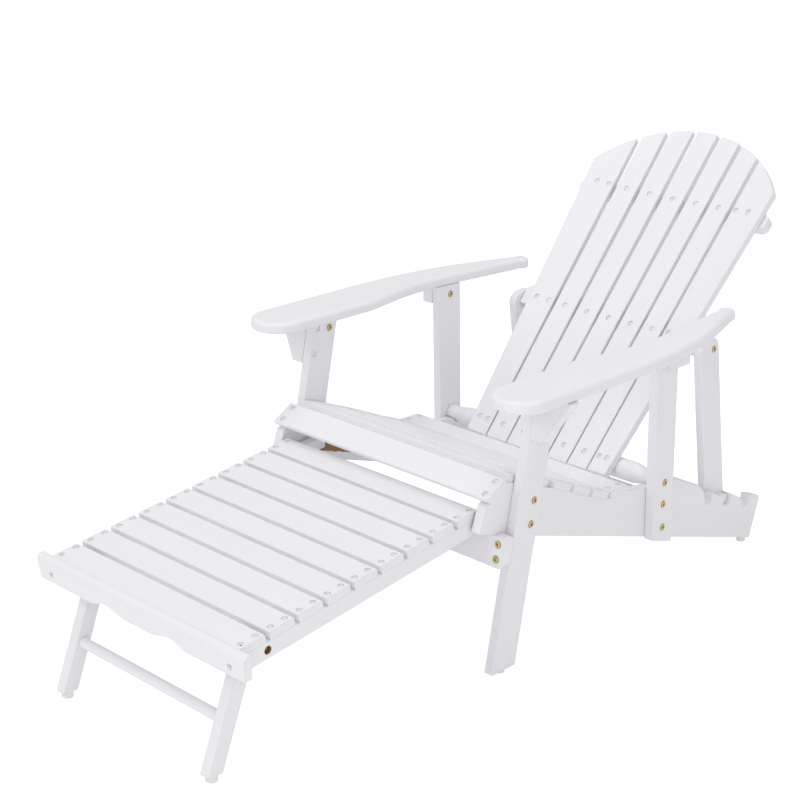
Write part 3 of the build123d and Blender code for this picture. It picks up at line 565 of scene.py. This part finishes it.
liner = bmesh.new()
for side in (1, -1):
    mouth = Vector((side * RAIL_FACE, LEG_PIVOT.y, LEG_PIVOT.z))
    at = frame_at(mouth, Vector((side, 0, 0)))
    lathe(liner, [
        (RECESS_R, -RECESS_DEEP), (RECESS_R, -0.0004), (RECESS_R - 0.0003, -0.0002),
        (RECESS_R - 0.0006, -0.0006), (RECESS_R - 0.0005, -RECESS_DEEP), (RECESS_R, -RECESS_DEEP),
    ], at)
recess = finish_mesh(liner, "leg_recess_liner", BARE)
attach(recess, "ottoman")

# ------------------------------------------------------------ bare wood inside the rails, under the seat
RAIL_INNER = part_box("side_rail_left")[0][0]
RAIL_NOSE_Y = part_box("side_rail_left")[0][1]
PATCH_OUT = 0.0003        # how far a patch stands off the rail
PATCH_IN = 0.0002         # and reaches into it
PATCH_STEPS = 12
PATCH_RAGGED = 0.0006
BARE_PATCH = (            # behind the rail's nose and above the floor
    (0.108, 0.266), (0.147, 0.2535), (0.205, 0.235), (0.236, 0.2255),
    (0.236, 0.258), (0.205, 0.272), (0.147, 0.300), (0.108, 0.316),
)


def bare_patch(side, name):
    """A thin sheet of unpainted wood with a ragged edge of paint."""
    solid = bmesh.new()
    outline = []
    for start, stop in zip(BARE_PATCH, BARE_PATCH[1:] + BARE_PATCH[:1]):
        for step in range(PATCH_STEPS):
            share = step / PATCH_STEPS
            y = start[0] + (stop[0] - start[0]) * share + rng.normal(0, PATCH_RAGGED)
            z = start[1] + (stop[1] - start[1]) * share + rng.normal(0, PATCH_RAGGED)
            outline.append((RAIL_NOSE_Y + y, z))
    front = [solid.verts.new((side * (RAIL_INNER - PATCH_OUT), y, z)) for y, z in outline]
    rear = [solid.verts.new((side * (RAIL_INNER + PATCH_IN), y, z)) for y, z in outline]
    solid.faces.new(front)
    solid.faces.new(list(reversed(rear)))
    for index in range(len(front)):
        after = (index + 1) % len(front)
        solid.faces.new((front[index], front[after], rear[after], rear[index]))
    patch = finish_mesh(solid, name, BARE)
    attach(patch, "frame")


bare_patch(1, "bare_patch_left")
bare_patch(-1, "bare_patch_right")

# ------------------------------------------------------------ paint on the boards, eased edges on the glides and the glide rod
REPLACED = {
    "frame_screws", "back_screws", "ottoman_screws", "frame_bolts", "back_pivot_bolts", "support_bolts",
    "ottoman_leg_bolts",
}
for name, node in NODES.items():
    if name in REPLACED:
        continue
    if name in ("chair_glides", "ottoman_glides"):
        dress(node, GLIDE)
        add_bevel(node, 0.0008)
    elif name == "ottoman_glide_rod":
        dress(node, BARE)
        add_bevel(node, 0.001)
    else:
        dress(node, paint_for(name))

# ------------------------------------------------------------ camera
CAMERA_AZIMUTH = math.radians(43.634)
CAMERA_TILT = math.radians(19.813)
CAMERA_ROLL = math.radians(0.842)
CAMERA_PLACE = Vector((2.139, -2.3943, 1.561))
CAMERA_LENS = 80.63
SENSOR_WIDTH = 36

right = Vector((math.cos(CAMERA_AZIMUTH), math.sin(CAMERA_AZIMUTH), 0))
back = Vector((
    math.sin(CAMERA_AZIMUTH) * math.cos(CAMERA_TILT),
    -math.cos(CAMERA_AZIMUTH) * math.cos(CAMERA_TILT),
    math.sin(CAMERA_TILT),
))
up = back.cross(right)
turned_right = math.cos(CAMERA_ROLL) * right + math.sin(CAMERA_ROLL) * up
turned_up = -math.sin(CAMERA_ROLL) * right + math.cos(CAMERA_ROLL) * up
camera_data = bpy.data.cameras.new("camera")
camera_data.sensor_fit = "HORIZONTAL"
camera_data.sensor_width = SENSOR_WIDTH
camera_data.lens = CAMERA_LENS
camera_data.clip_end = 50
camera = bpy.data.objects.new("camera", camera_data)
bpy.context.scene.collection.objects.link(camera)
turn = Matrix((turned_right, turned_up, back)).transposed().to_4x4()
camera.matrix_world = Matrix.Translation(CAMERA_PLACE) @ turn
bpy.context.scene.camera = camera


# ------------------------------------------------------------ floor and light
FLOOR_LIGHT = 0.12        # what the floor sends up at the chair
FLOOR_SEEN = 0.55         # what the camera sees
FLOOR_HALF = 14
AIM = Vector((0, 0, 0.4))
FLOOR_WHITE = (0.93, 0.93, 0.93, 1.0)
FLOOR_GREY = (0.91, 0.91, 0.91, 1.0)


def studio_floor():
    """A broad pale sweep with a faint speckle, so that it isn't a flat colour."""
    solid = bmesh.new()
    bmesh.ops.create_grid(solid, x_segments=8, y_segments=8, size=FLOOR_HALF)
    build = Nodes("studio_floor")
    coords = build.add("ShaderNodeTexCoord").outputs["Object"]
    speck = build.add("ShaderNodeTexNoise", Vector=coords, Scale=60.0, Detail=4.0, Roughness=0.6)
    base = build.blend(build.ramp(speck.outputs["Fac"], 0.4, 0.6), FLOOR_WHITE, FLOOR_GREY)
    build.put(build.shader.inputs["Base Color"], base)
    build.shader.inputs["Roughness"].default_value = 0.85
    build.shader.inputs["Emission Color"].default_value = (1.0, 1.0, 1.0, 1.0)
    seen_floor = build.add("ShaderNodeLightPath").outputs["Is Camera Ray"]
    glow = build.ramp(seen_floor, 0.0, 1.0, FLOOR_LIGHT, FLOOR_SEEN)
    build.put(build.shader.inputs["Emission Strength"], glow)
    floor = finish_mesh(solid, "floor", build.material)


def area_light(name, place, size, power):
    """A soft white light that looks at the middle of the chair."""
    data = bpy.data.lights.new(name, "AREA")
    data.shape = "RECTANGLE"
    data.size, data.size_y = size
    data.energy = power
    light = bpy.data.objects.new(name, data)
    bpy.context.scene.collection.objects.link(light)
    light.matrix_world = frame_at(Vector(place), (Vector(place) - AIM).normalized())


studio_floor()
area_light("key", (-1.3, -3.6, 3.0), (2.2, 2.2), 32)
area_light("fill", (2.4, -2.2, 1.7), (1.6, 1.2), 15)
area_light("top", (0.0, 0.0, 4.4), (3.0, 3.0), 50)
area_light("rim", (1.2, 3.6, 2.4), (2.4, 1.6), 5)
world = bpy.data.worlds.new("studio")
world.use_nodes = True
sky = world.node_tree.nodes["Background"]
sky.inputs["Color"].default_value = (1.0, 1.0, 1.0, 1.0)
SKY_LIGHT = 0.585         # what lights the chair
SKY_SEEN = 1.06           # what the camera sees behind it
seen = world.node_tree.nodes.new("ShaderNodeLightPath").outputs["Is Camera Ray"]
pick = world.node_tree.nodes.new("ShaderNodeMapRange")
world.node_tree.links.new(seen, pick.inputs["Value"])
pick.inputs["To Min"].default_value = SKY_LIGHT
pick.inputs["To Max"].default_value = SKY_SEEN
world.node_tree.links.new(pick.outputs["Result"], sky.inputs["Strength"])
bpy.context.scene.world = world
bpy.context.scene.view_settings.view_transform = "Standard"
